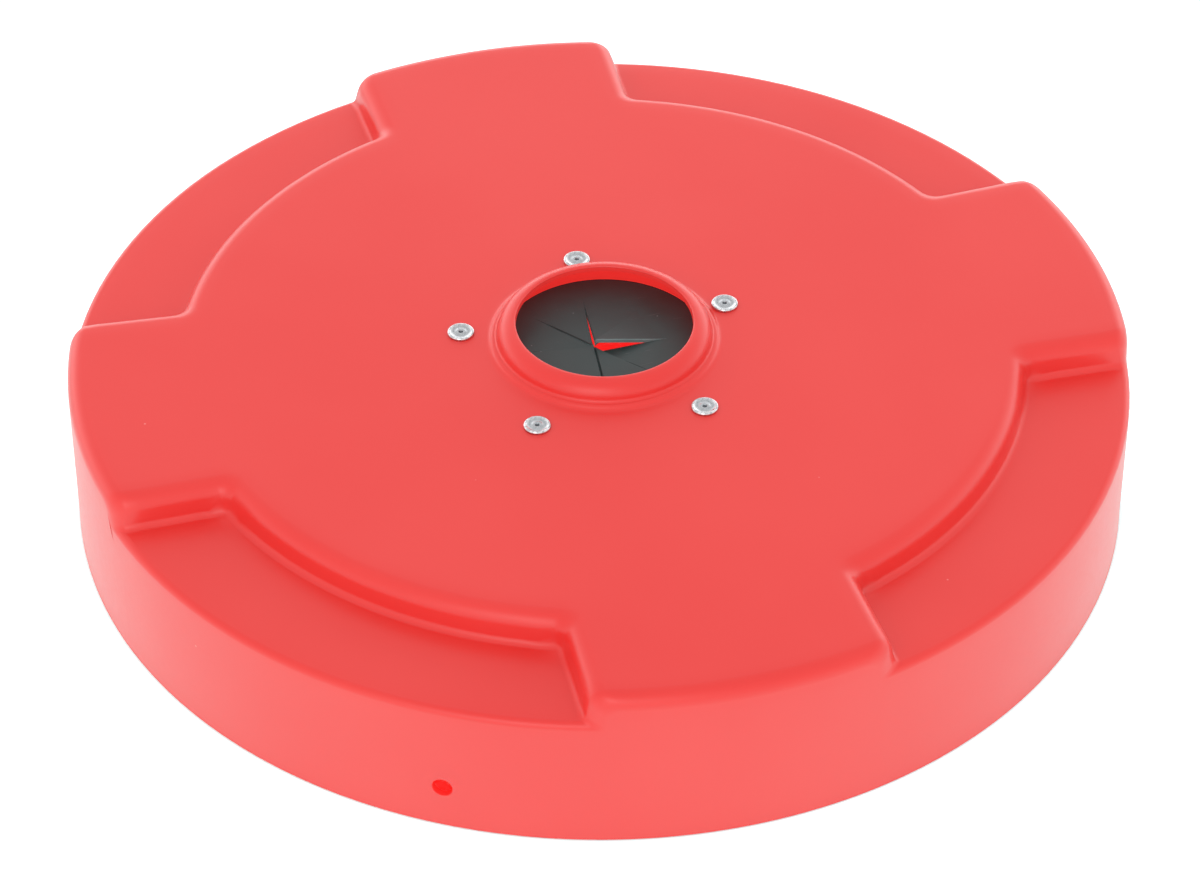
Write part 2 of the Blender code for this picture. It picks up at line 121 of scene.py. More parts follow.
# Rubber sheet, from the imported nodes
SHEET_LOW, SHEET_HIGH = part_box("diaphragm_rim")
SHEET_CENTRE = (SHEET_LOW + SHEET_HIGH) / 2
SHEET_RADIUS = (SHEET_HIGH.x - SHEET_LOW.x) / 2
SHEET_THICKNESS = SHEET_HIGH.z - SHEET_LOW.z
FLAPS = 8
SLIT_LENGTH = 42.0 * MM
HINGE_APOTHEM = 37.253 * MM
OPENING_APOTHEM = SLIT_LENGTH * cos(pi / FLAPS)
BEND_LENGTH = 7.0 * MM  # of flap beside its hinge that curls as it opens
FLAP_TIP_BLUNTING = 0.9 * MM
# Half of each slit's opening, and the length over which it closes towards its outer end
SLITS = (
    (0.25 * MM, 5 * MM),
    (0.01 * MM, 5 * MM),
    (0.60 * MM, 34 * MM),
    (0.12 * MM, 20 * MM),
    (0.04 * MM, 5 * MM),
    (0.01 * MM, 5 * MM),
    (0.06 * MM, 8 * MM),
    (0.12 * MM, 25 * MM),
)
# Width worn off the edges of each slit, in mm
GROOVES = (0.30, 0.04, 0.30, 0.62, 0.10, 0.04, 0.70, 0.60)
SHARP_EDGE = 0.04  # width worn off at a slit's outer end, in mm
WEAR_LENGTH = 14 * MM  # over which the wear grows from that end
LIT_EDGE_FLAP = 1  # the flap whose top edge beside the open slit takes the light cut-rubber colour too, as a painted highlight
# How much higher the side of each flap towards the slit before it stands, halfway along
FLAP_TWISTS = (0.6 * MM, 0.5 * MM, -0.2 * MM, 0.3 * MM, 0.0, 0.2 * MM, 0.2 * MM, 0.5 * MM)

# Blind rivets
RIVETS = 5
RIVET_HOLE_RADIUS = 2.7 * MM
RIVET_HOLE_SIDES = 32
SHANK_RADIUS = 2.4 * MM
BORE_RADIUS = 1.3 * MM
BULB_LENGTH = 5.0 * MM
# Dished head from its bore to its rim: (radius, depth below the top)
RIVET_HEAD = (
    (BORE_RADIUS, 0.75 * MM),
    (BORE_RADIUS + 0.35 * MM, 0.38 * MM),
    (2.6 * MM, 0.42 * MM),
    (3.5 * MM, 0.72 * MM),
    (4.6 * MM, 0.8 * MM),
    (5.7 * MM, 0.45 * MM),
    (6.4 * MM, 0.08 * MM),
    (6.9 * MM, 0.0),
    (7.4 * MM, 0.25 * MM),
)
SHADED_DISH_RADIUS = 5.6 * MM  # within this the head's colour is darkened, painted shade in its dish
STEM_RADIUS = 0.95 * MM
# Broken end of a mandrel: (radius, depth below its highest point)
BROKEN_END = ((0.0, 0.12 * MM), (0.35 * MM, 0.0), (0.7 * MM, 0.3 * MM), (STEM_RADIUS, 0.6 * MM))

# Studio light
EVEN_LIGHT = 0.93
FRONT = radians(-105.0)  # azimuth of the side that faces the camera
LOW_BAND = (radians(8.0), radians(36.0))  # heights between which the low light fades
LOW_BAND_LIGHT = 0.35
BACK_LIGHT = 4.0  # how much stronger the low light is behind
KEY_LIGHT = 2.0
KEY_FOCUS = 20.0  # the higher, the smaller the bright patch
KEY_HEIGHT = radians(32.0)
KEY_AZIMUTH = radians(-118.0)
WALL_GLOW_SIZE = 0.36
WALL_GLOW_POWER = 0.05
WALL_GLOW_COLOUR = (1.0, 0.04, 0.05)
FLOOR_HALF_WIDTH = 12.0
FLOOR_DROP = 0.05 * MM  # below the lid's lower edge

# Camera
CAMERA_TURN = radians(-15.0)
CAMERA_PLACE = Vector((0.0, -1.94671, 1.63769))  # before that turn
CAMERA_TARGET = Vector((0.00023, 0.025586, 0.0))
CAMERA_LENS = 129.5

# Fineness and surface softness
ARC_STEPS = 8
STATIONS_ACROSS_LOBE = 10
STATIONS_ACROSS_RECESS = 12
RIVET_SIDES = 64
WAVE = 0.35 * MM  # deepest dip of the moulded surface
WAVES_PER_METRE = 11.0
WAVE_RADII = (95.0 * MM, 150.0 * MM)  # between them the dips grow from none to full
WAVE_HEIGHTS = (2.0 * MM, 12.0 * MM)  # the same, up from the skirt's lower edge
OCTANT = pi / LOBES


# ---------------------------------------------------------------- mesh tools


def smooth_step(x, low, high):
    t = min(1.0, max(0.0, (x - low) / (high - low)))
    return t * t * (3 - 2 * t)


def interpolate(x, points):
    """Height at x on a polyline of (x, height) points, level beyond its ends."""
    if x <= points[0][0]:
        return points[0][1]
    for (x0, y0), (x1, y1) in zip(points, points[1:]):
        if x <= x1:
            return y0 + (y1 - y0) * (x - x0) / (x1 - x0)
    return points[-1][1]


def arc(centre, radius, start, end, steps):
    """Points of an arc in the (radius, height) plane; angles in degrees, counterclockwise from +radius."""
    angles = [radians(start + (end - start) * i / steps) for i in range(steps + 1)]
    return [(centre[0] + radius * cos(a), centre[1] + radius * sin(a)) for a in angles]


def spread(start, end, steps):
    """Evenly spaced points from start to end, leaving out both ends."""
    shares = [i / steps for i in range(1, steps)]
    return [(start[0] + (end[0] - start[0]) * s, start[1] + (end[1] - start[1]) * s) for s in shares]


def curve_through(points, steps):
    """A smooth line through (radius, height) points, which it passes through in turn."""
    padded = [points[0], *points, points[-1]]
    line = []
    for a, b, c, d in zip(padded, padded[1:], padded[2:], padded[3:]):
        for i in range(steps):
            t = i / steps
            weights = (
                -0.5 * t + t * t - 0.5 * t**3,
                1 - 2.5 * t * t + 1.5 * t**3,
                0.5 * t + 2 * t * t - 1.5 * t**3,
                -0.5 * t * t + 0.5 * t**3,
            )
            line.append(tuple(sum(w * p[k] for w, p in zip(weights, (a, b, c, d))) for k in (0, 1)))
    return line + [points[-1]]


def polar(radius, azimuth, height=0.0):
    return Vector((radius * cos(azimuth), radius * sin(azimuth), height))


def grid_faces(columns, rows, close_rows):
    """Quads of a grid stored column by column whose columns close on themselves."""
    faces = []
    for column in range(columns):
        following = (column + 1) % columns
        for row in range(rows if close_rows else rows - 1):
            above = (row + 1) % rows
            here, beyond = column * rows, following * rows
            faces.append((here + row, here + above, beyond + above, beyond + row))
    return faces


def make_mesh(name, vertices, faces, finishes, face_finishes=None):
    mesh = bpy.data.meshes.new(name)
    mesh.from_pydata(vertices, [], faces)
    for finish in finishes:
        mesh.materials.append(finish)
    if face_finishes:
        mesh.polygons.foreach_set("material_index", face_finishes)
    mesh.shade_smooth()
    return mesh


def add_piece(name, mesh, sharp_angle=35):
    mesh.set_sharp_from_angle(angle=radians(sharp_angle))
    piece = bpy.data.objects.new(name, mesh)
    bpy.context.scene.collection.objects.link(piece)
    return piece


def turned(name, profile, sides, finish, closed=True):
    """Turn a (radius, height) profile about Z; an open profile starts and ends on the axis."""
    ring = profile if closed else profile[1:-1]
    vertices = [polar(r, 2 * pi * side / sides, z) for side in range(sides) for r, z in ring]
    faces = grid_faces(sides, len(ring), closed)
    if not closed:
        vertices += [Vector((0, 0, profile[0][1])), Vector((0, 0, profile[-1][1]))]
        top, bottom = len(vertices) - 2, len(vertices) - 1
        for side in range(sides):
            following = (side + 1) % sides
            faces.append((top, side * len(ring), following * len(ring)))
            faces.append((bottom, (following + 1) * len(ring) - 1, (side + 1) * len(ring) - 1))
    return make_mesh(name, vertices, faces, [finish])


def drill(piece, cutters):
    """Cut the cutters out of a piece for good, and remove them."""
    for cutter in cutters:
        boolean = piece.modifiers.new(cutter.name, "BOOLEAN")
        boolean.operation = "DIFFERENCE"
        boolean.object = cutter
    depsgraph = bpy.context.evaluated_depsgraph_get()
    mesh = bpy.data.meshes.new_from_object(piece.evaluated_get(depsgraph))
    piece.modifiers.clear()
    piece.data = mesh
    mesh.set_sharp_from_angle(angle=radians(35))
    for cutter in cutters:
        bpy.data.objects.remove(cutter, do_unlink=True)


# ---------------------------------------------------------------- materials


def new_finish(name):
    finish = bpy.data.materials.new(name)
    finish.use_nodes = True
    return finish, finish.node_tree, finish.node_tree.nodes["Principled BSDF"]


def node(tree, kind, settings=None, **inputs):
    """A node with its settings, its plain input values, and links from any sockets given as inputs."""
    made = tree.nodes.new(kind)
    for key, value in (settings or {}).items():
        setattr(made, key, value)
    for key, value in inputs.items():
        socket = made.inputs[key.replace("_", " ")]
        if isinstance(value, bpy.types.NodeSocket):
            tree.links.new(value, socket)
        else:
            socket.default_value = value
    return made


def noise_field(tree, coordinates, scale, detail=3.0, roughness=0.5):
    return node(
        tree, "ShaderNodeTexNoise", Vector=coordinates, Scale=scale, Detail=detail, Roughness=roughness
    ).outputs["Fac"]


def remap(tree, value, low, high, to_low, to_high):
    return node(
        tree,
        "ShaderNodeMapRange",
        Value=value,
        From_Min=low,
        From_Max=high,
        To_Min=to_low,
        To_Max=to_high,
    ).outputs["Result"]


def maths(tree, operation, first, second):
    made = tree.nodes.new("ShaderNodeMath")
    made.operation = operation
    for socket, value in zip(made.inputs, (first, second)):
        if isinstance(value, bpy.types.NodeSocket):
            tree.links.new(value, socket)
        else:
            socket.default_value = value
    return made.outputs[0]


def blend_colours(tree, share, first, second):
    made = tree.nodes.new("ShaderNodeMix")
    made.data_type = "RGBA"
    tree.links.new(share, made.inputs[0])
    for socket, value in ((made.inputs[6], first), (made.inputs[7], second)):
        if isinstance(value, bpy.types.NodeSocket):
            tree.links.new(value, socket)
        else:
            socket.default_value = (*value, 1.0)
    return made.outputs[2]


def bump(tree, height, distance, strength=1.0, under=None):
    made = node(tree, "ShaderNodeBump", Height=height, Distance=distance, Strength=strength)
    if under:
        tree.links.new(under, made.inputs["Normal"])
    return made.outputs["Normal"]


def specks(tree, coordinates, scale, size, share):
    """1 in small round spots of about size / scale, found in a share of the texture's cells."""
    cells = node(tree, "ShaderNodeTexVoronoi", Vector=coordinates, Scale=scale)
    spot = remap(tree, cells.outputs["Distance"], size, size * 0.4, 0.0, 1.0)
    chosen = node(tree, "ShaderNodeSeparateColor", Color=cells.outputs["Color"]).outputs[0]
    return maths(tree, "MULTIPLY", spot, maths(tree, "LESS_THAN", chosen, share))


def polyethylene(name, grain, roughness, painted_glow=0.0):
    """Satin moulded polyethylene; grain is its orange peel, and the last argument is the strength of a red
    glow painted on the surface for light that comes through the wall.
    """
    finish, tree, shader = new_finish(name)
    place = node(tree, "ShaderNodeTexCoord").outputs["Object"]
    broad = noise_field(tree, place, 7.0, 2.0)
    fine = noise_field(tree, place, 260.0, 4.0, 0.6)
    pores = noise_field(tree, place, 1500.0, 2.0)
    spots = specks(tree, place, 60.0, 0.050, 0.09)
    clouds = remap(tree, broad, 0.35, 0.65, 0.0, 1.0)
    colour = blend_colours(tree, clouds, (0.752, 0.028, 0.024), (0.767, 0.034, 0.029))
    colour = blend_colours(tree, maths(tree, "MULTIPLY", spots, 0.7), colour, (0.80, 0.32, 0.30))
    tree.links.new(colour, shader.inputs["Base Color"])
    gloss = remap(tree, fine, 0.3, 0.7, roughness - 0.015, roughness + 0.015)
    tree.links.new(gloss, shader.inputs["Roughness"])
    relief = bump(tree, fine, grain)
    relief = bump(tree, pores, 0.2 * grain, under=relief)
    relief = bump(tree, spots, 0.03 * MM, under=relief)
    tree.links.new(relief, shader.inputs["Normal"])
    shader.inputs["IOR"].default_value = 1.51
    # Painted light: a red glow emitted by the surface itself, standing in for light through the wall.
    shader.inputs["Emission Color"].default_value = (1.0, 0.03, 0.025, 1.0)
    shader.inputs["Emission Strength"].default_value = painted_glow
    return finish


def sheet_rubber(name, shade_value, roughness):
    """Calendered sheet rubber with a bloom of fine dust and a few scuffs."""
    finish, tree, shader = new_finish(name)
    place = node(tree, "ShaderNodeTexCoord").outputs["Object"]
    stretched = node(
        tree, "ShaderNodeMapping", Vector=place, Rotation=(0, 0, radians(35)), Scale=(1.0, 9.0, 1.0)
    ).outputs["Vector"]
    mottle = noise_field(tree, place, 45.0, 4.0, 0.6)
    texture = noise_field(tree, place, 1800.0, 2.0)
    scuffs = remap(tree, noise_field(tree, stretched, 42.0, 5.0, 0.7), 0.66, 0.74, 0.0, 1.0)
    dust = specks(tree, place, 260.0, 0.13, 0.07)
    # The red share is held low in both tones: a cyan tint painted to cancel the red light the collar throws
    # on the rubber.
    dark = (shade_value * 0.62, shade_value, shade_value)
    light = (shade_value * 0.92, shade_value * 1.30, shade_value * 1.30)
    colour = blend_colours(tree, remap(tree, mottle, 0.3, 0.7, 0.0, 1.0), dark, light)
    marks = maths(tree, "MAXIMUM", maths(tree, "MULTIPLY", scuffs, 0.5), dust)
    colour = blend_colours(tree, maths(tree, "MULTIPLY", marks, 0.5), colour, (0.34, 0.34, 0.33))
    tree.links.new(colour, shader.inputs["Base Color"])
    tree.links.new(remap(tree, mottle, 0.3, 0.7, roughness, roughness + 0.12), shader.inputs["Roughness"])
    relief = bump(tree, texture, 0.02 * MM)
    relief = bump(tree, scuffs, 0.05 * MM, under=relief)
    tree.links.new(relief, shader.inputs["Normal"])
    shader.inputs["IOR"].default_value = 1.47
    return finish


def formed_metal(name, light, dark, roughness, grain, shaded_radius=0.0):
    """Formed metal with fine drawing marks and light wear, its colour darkened within a radius of its axis
    as painted shade in the dish.
    """
    finish, tree, shader = new_finish(name)
    place = node(tree, "ShaderNodeTexCoord").outputs["Object"]
    wear = noise_field(tree, place, 420.0, 4.0, 0.65)
    marks = noise_field(tree, place, 2600.0, 3.0)
    unworn_unshaded = remap(tree, wear, 0.35, 0.65, 0.0, 1.0)
    # Painted shade: within the radius the colour is pulled towards the dark tone.
    if shaded_radius:
        flat = node(tree, "ShaderNodeVectorMath", {"operation": "MULTIPLY"}, Vector=place)
        flat.inputs[1].default_value = (1.0, 1.0, 0.0)
        reach = node(tree, "ShaderNodeVectorMath", {"operation": "LENGTH"}, Vector=flat.outputs["Vector"])
        outside = remap(tree, reach.outputs["Value"], shaded_radius * 0.9, shaded_radius * 1.1, 0.25, 1.0)
        unworn_unshaded = maths(tree, "MULTIPLY", unworn_unshaded, outside)
    tree.links.new(blend_colours(tree, unworn_unshaded, dark, light), shader.inputs["Base Color"])
    gloss = remap(tree, marks, 0.3, 0.7, roughness - 0.06, roughness + 0.1)
    tree.links.new(gloss, shader.inputs["Roughness"])
    relief = bump(tree, marks, grain)
    relief = bump(tree, wear, 1.5 * grain, under=relief)
    tree.links.new(relief, shader.inputs["Normal"])
    shader.inputs["Metallic"].default_value = 1.0
    return finish


# ---------------------------------------------------------------- shell


def step_profile(upper_round, lower_round):
    """Points (distance, drop) across the step from the plate down to a recess floor."""
    rounding = (upper_round + lower_round) * (1 - cos(STEP_LEAN))
    straight = (RECESS_DEPTH - rounding) / sin(STEP_LEAN)
    upper = [STEP_LEAN * i / ARC_STEPS for i in range(ARC_STEPS + 1)]
    points = [(upper_round * sin(a), upper_round * (1 - cos(a))) for a in upper]
    width = (upper_round + lower_round) * sin(STEP_LEAN) + straight * cos(STEP_LEAN)
    points += [
        (width - lower_round * sin(a), RECESS_DEPTH - lower_round * (1 - cos(a)))
        for a in reversed(upper)
    ]
    return points


OUTER_STEP = step_profile(STEP_ROUND, STEP_FILLET)
INNER_STEP = step_profile(STEP_ROUND - WALL, STEP_FILLET + WALL)
STEP_WIDTH = OUTER_STEP[-1][0]
STATIONS_PER_OCTANT = STATIONS_ACROSS_LOBE + len(OUTER_STEP) - 1 + STATIONS_ACROSS_RECESS
STATIONS = 2 * LOBES * STATIONS_PER_OCTANT


def smooth_min(a, b, easing):
    """The smaller of a and b, eased where they are within easing of each other."""
    overlap = max(easing - abs(a - b), 0.0) / easing
    return min(a, b) - overlap * overlap * easing / 4


def corner_easing(radius):
    """How far a lobe's side turns in towards its axis as it nears the skirt."""
    inset = min(max(radius - (LID_RADIUS - LOBE_CORNER), 0.0), LOBE_CORNER)
    return LOBE_CORNER_TURN * (LOBE_CORNER - sqrt(LOBE_CORNER**2 - inset**2))


def lobe_side(index, radius, step, half_width, octant):
    """Angle from a lobe's axis of one station line, which runs along the lobe's side at its radius."""
    side = half_width - corner_easing(radius)
    reach = max(radius, RECESS_INNER_RADIUS)
    last = STATIONS_ACROSS_LOBE + len(step) - 1
    if index <= STATIONS_ACROSS_LOBE:
        return (LOBE_SIDE_TAPER + asin(side / reach)) * index / STATIONS_ACROSS_LOBE
    if index <= last:
        return LOBE_SIDE_TAPER + asin((side + step[index - STATIONS_ACROSS_LOBE][0]) / reach)
    edge = LOBE_SIDE_TAPER + asin((side + STEP_WIDTH) / reach)
    return edge + (octant - edge) * (index - last) / STATIONS_ACROSS_RECESS


def recess_distance(radius, from_axis, half_width):
    """Distance into the recess from the start of its step; negative on the plate and lobes."""
    beside = radius * sin(from_axis - LOBE_SIDE_TAPER) - half_width + corner_easing(radius)
    return smooth_min(beside, radius - RECESS_INNER_RADIUS, STEP_CORNER)


def shell_section():
    """Closed section of the shell wall through a lobe: outer skin, then inner skin."""
    crest = (LIP_RADIUS + LIP_FLAT, LIP_HEIGHT - COLLAR_ROUND)
    lip = (LIP_RADIUS + LIP_EDGE_ROUND, LIP_HEIGHT - LIP_EDGE_ROUND)
    outer = arc(lip, LIP_EDGE_ROUND, 180, 100, 5)
    outer += arc(crest, COLLAR_ROUND, 87, 12, 16)[1:]
    foot = [outer.pop()]
    foot += [(radius, LID_HEIGHT + height) for radius, height in COLLAR_FOOT]
    outer += curve_through(foot, 3)
    step_start, step_end = RECESS_INNER_RADIUS, RECESS_INNER_RADIUS + STEP_WIDTH
    rounding_start = LID_RADIUS - LOBE_ROUND
    outer += spread(foot[-1], (step_start, LID_HEIGHT), 22)
    outer += [(step_start + distance, LID_HEIGHT) for distance, _ in OUTER_STEP]
    outer += spread((step_end, LID_HEIGHT), (rounding_start, LID_HEIGHT), 8)
    outer += arc((rounding_start, LID_HEIGHT - LOBE_ROUND), LOBE_ROUND, 90, 0, 10)
    outer += spread((LID_RADIUS, LID_HEIGHT - LOBE_ROUND), (LID_RADIUS, SKIRT_FREE_HEIGHT), 4)
    outer += [(LID_RADIUS, SKIRT_FREE_HEIGHT)]
    outer += spread((LID_RADIUS, SKIRT_FREE_HEIGHT), (LID_RADIUS, TRIMMED_EDGE), 7)
    outer += [(LID_RADIUS, TRIMMED_EDGE), (LID_RADIUS - TRIMMED_EDGE, 0.0)]

    inside = LID_RADIUS - WALL
    inner = [(inside + TRIMMED_EDGE, 0.0), (inside, TRIMMED_EDGE)]
    inner += spread((inside, TRIMMED_EDGE), (inside, SKIRT_FREE_HEIGHT), 5)
    inner += [(inside, SKIRT_FREE_HEIGHT)]
    inner += spread((inside, SKIRT_FREE_HEIGHT), (inside, LID_HEIGHT - LOBE_ROUND), 4)
    inner += arc((rounding_start, LID_HEIGHT - LOBE_ROUND), LOBE_ROUND - WALL, 0, 90, 5)
    inner += spread((rounding_start, PLATE_UNDERSIDE), (step_end, PLATE_UNDERSIDE), 5)
    inner += [(step_start + distance, PLATE_UNDERSIDE) for distance, _ in reversed(INNER_STEP)]
    inner += spread((step_start, PLATE_UNDERSIDE), (COLLAR_FOOT_RADIUS, PLATE_UNDERSIDE), 12)
    inner += [(COLLAR_FOOT_RADIUS, PLATE_UNDERSIDE)]
    inner += [(COLLAR_THROAT_RADIUS, PLATE_UNDERSIDE)]
    inner += arc(crest, COLLAR_ROUND - WALL, 12, 80, 8)
    inner += [(LIP_RADIUS, LIP_HEIGHT - WALL + 0.6 * MM)]
    return outer, inner


def press(point, station, outer_skin):
    """Place a section point: along the lobe's side, down into a recess, and with the collar off centre."""
    radius, height = point
    lobe = round(station / (2 * STATIONS_PER_OCTANT))
    offset = station - lobe * 2 * STATIONS_PER_OCTANT
    side = 1 if offset > 0 else -1
    shoulder = LID_HEIGHT - LOBE_ROUND
    reach = min(1.0, max(0.0, (height - SKIRT_FREE_HEIGHT) / (shoulder - SKIRT_FREE_HEIGHT)))
    turn = LOBE_TURNS[lobe % LOBES] * reach
    half_width = LOBE_SIDE_DISTANCES[lobe % LOBES]
    step = OUTER_STEP if outer_skin else INNER_STEP
    inset = 0.0 if outer_skin else WALL
    even = abs(offset) * OCTANT / STATIONS_PER_OCTANT
    along_side = lobe_side(abs(offset), radius, step, half_width, OCTANT - side * turn)
    share = smooth_step(radius, *SPREAD_RADII)
    angle = even + (along_side - even) * share
    azimuth = lobe * 2 * OCTANT + turn * share + side * angle
    drop = interpolate(recess_distance(radius, angle, half_width), step)

    edge = LID_RADIUS - inset
    top = LID_HEIGHT - inset
    rounding = top - shoulder
    tighter = 1 - min(LOBE_ROUND - RECESS_ROUND, TIGHTEST * rounding) / rounding * drop / RECESS_DEPTH
    if radius < LID_RADIUS - LOBE_ROUND:
        placed = polar(radius, azimuth, height - drop)
    elif height >= shoulder:
        placed = polar(edge - (edge - radius) * tighter, azimuth, top - (top - height) * tighter - drop)
    else:
        lowered = shoulder - (top - rounding * tighter - drop)
        placed = polar(radius, azimuth, height - lowered * reach)
    return placed + COLLAR_CENTRE * (1 - smooth_step(radius, *CENTRING_RADII))


def soften(mesh):
    """Let the moulded skins dip gently, never outwards, and less near the collar and the rivets."""
    directions = [normal.vector.copy() for normal in mesh.vertex_normals]
    for vertex, direction in zip(mesh.vertices, directions):
        share = smooth_step(hypot(vertex.co.x, vertex.co.y), *WAVE_RADII)
        share *= smooth_step(vertex.co.z, *WAVE_HEIGHTS)
        dip = WAVE * share * (0.5 + 0.5 * noise.noise(vertex.co * WAVES_PER_METRE))
        vertex.co -= direction * dip


def make_shell(moulded, inside, trimmed):
    outer, inner = shell_section()
    section = outer + inner
    vertices = [
        press(point, station, row < len(outer))
        for station in range(STATIONS)
        for row, point in enumerate(section)
    ]
    rows = len(section)
    lip_rows = (rows - 2, rows - 1)
    finishes = []
    for row in range(rows):
        if row == len(outer) - 1 or row in lip_rows:
            finishes.append(2)
        else:
            finishes.append(0 if row < len(outer) else 1)
    mesh = make_mesh(
        "moulded_shell",
        vertices,
        grid_faces(STATIONS, rows, True),
        [moulded, inside, trimmed],
        finishes * STATIONS,
    )
    soften(mesh)
    shell = add_piece("moulded_shell", mesh)

    flared, reach = SIDE_HOLE_RADIUS + 2 * SIDE_HOLE_FLARE, 12 * MM
    profile = [(0.0, reach), (flared, reach), (flared, SIDE_HOLE_FLARE)]
    profile += [(SIDE_HOLE_RADIUS, -SIDE_HOLE_FLARE), (SIDE_HOLE_RADIUS, -reach), (0.0, -reach)]
    hole = add_piece("side_hole", turned("side_hole", profile, 48, trimmed, closed=False))
    hole.location = polar(LID_RADIUS, SIDE_HOLE_AZIMUTH, SIDE_HOLE_HEIGHT)
    hole.rotation_euler = (0, pi / 2, SIDE_HOLE_AZIMUTH)
    drill(shell, [hole, *rivet_cutters("shell_hole", trimmed, LID_HEIGHT - WALL / 2, 2 * WALL)])
    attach(shell, "lid")
    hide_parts("lid_shell")


def rivet_place(index):
    low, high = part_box(f"rivet_{index + 1}")
    return Vector(((low.x + high.x) / 2, (low.y + high.y) / 2, 0))


def rivet_cutters(name, finish, middle, length):
    half = length / 2
    profile = [(0, half), (RIVET_HOLE_RADIUS, half), (RIVET_HOLE_RADIUS, -half), (0, -half)]
    cutters = []
    for index in range(RIVETS):
        mesh = turned(name, profile, RIVET_HOLE_SIDES, finish, closed=False)
        cutter = add_piece(f"{name}_{index + 1}", mesh)
        cutter.location = rivet_place(index) + Vector((0, 0, middle))
        cutters.append(cutter)
    return cutters


# ---------------------------------------------------------------- rubber


def slit_frame(joint):
    """(outward direction, sideways direction, hinge point) of one flap, from its joint."""
    axis = Vector(joint["axis"])
    return Vector((-axis.y, axis.x, 0)), axis, Vector(joint["pos_m"])


def flap_height(across, side_share, lift, twist):
    """Height of a flap's middle surface; across runs from its root to its tip, side_share from -1 to 1."""
    along = min(1.0, max(0.0, across / HINGE_APOTHEM))
    return lift * along**1.25 + twist * side_share * 4 * along * along * (1 - along)


def make_flap(number, joint, rubber, cut_rubber_and_highlight):
    """One wedge between two slits, level at its root, whose tip stands or sags as in the CAD."""
    outward, sideways, hinge = slit_frame(joint)
    low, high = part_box(f"flap_{number}")
    lift = (high.z - SHEET_HIGH.z) + (low.z - SHEET_LOW.z)
    twist = FLAP_TWISTS[number - 1]
    sides = (SLITS[number - 1], SLITS[number % FLAPS])
    grooves = (GROOVES[number - 1], GROOVES[number % FLAPS])
    root = OPENING_APOTHEM - HINGE_APOTHEM
    tip = HINGE_APOTHEM - FLAP_TIP_BLUNTING
    curl_rows, plain_rows, columns = 9, 18, 14
    places = [root * (1 - i / 3) for i in range(3)]
    places += [-BEND_LENGTH * i / curl_rows for i in range(curl_rows)]
    places += [-BEND_LENGTH - (tip - BEND_LENGTH) * i / plain_rows for i in range(plain_rows + 1)]
    half_thickness = SHEET_THICKNESS / 2
    vertices = []
    for place in places:
        reach = HINGE_APOTHEM + place
        widths = []
        for half_gap, fade in sides:
            opening = half_gap * smooth_step(OPENING_APOTHEM - reach, 0.0, fade)
            widths.append(max(reach * tan(pi / FLAPS) - opening, 0.15 * MM))
        near, far = widths
        worn = smooth_step(OPENING_APOTHEM - reach, 0.0, WEAR_LENGTH)
        near_bevel, far_bevel = (
            min((SHARP_EDGE + (groove - SHARP_EDGE) * worn) * MM, 0.3 * (near + far)) for groove in grooves
        )
        low_side, high_side = -far + far_bevel, near - near_bevel
        across = [low_side + (high_side - low_side) * i / columns for i in range(columns + 1)]
        loop = [(v, half_thickness) for v in across]
        loop += [(near, half_thickness - 1.5 * near_bevel), (near, -half_thickness)]
        loop += [(v, -half_thickness) for v in reversed(across[1:-1])]
        loop += [(-far, -half_thickness), (-far, half_thickness - 1.5 * far_bevel)]
        ripple = 0.12 * MM * noise.noise(Vector((place * 60, number * 7.3, 0.0)))
        ripple *= smooth_step(-place, 0.0, 20 * MM)
        for v, z in loop:
            height = flap_height(-place, v / max(near, far), lift, twist) + ripple
            vertices.append(hinge + outward * place + sideways * v + Vector((0, 0, height + z)))
    side = len(vertices) // len(places)
    faces, finishes = [], []
    for row in range(len(places) - 1):
        for i in range(side):
            j = (i + 1) % side
            faces.append((row * side + i, row * side + j, (row + 1) * side + j, (row + 1) * side + i))
            # Side walls take the light cut-rubber colour; one top bevel beside the open slit takes it too,
            # as a painted highlight.
            walls = (columns + 1, 2 * columns + 2)
            highlight_edge = i == columns and number == LIT_EDGE_FLAP
            finishes.append(1 if i in walls or highlight_edge else 0)
    faces.append(tuple(reversed(range(side))))
    faces.append(tuple((len(places) - 1) * side + i for i in range(side)))
    finishes += [0, 1]
    mesh = make_mesh(f"rubber_flap_{number}", vertices, faces, [rubber, cut_rubber_and_highlight], finishes)
    flap = add_piece(f"rubber_flap_{number}", mesh, 25)
    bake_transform(flap)
    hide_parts(f"flap_{number}")


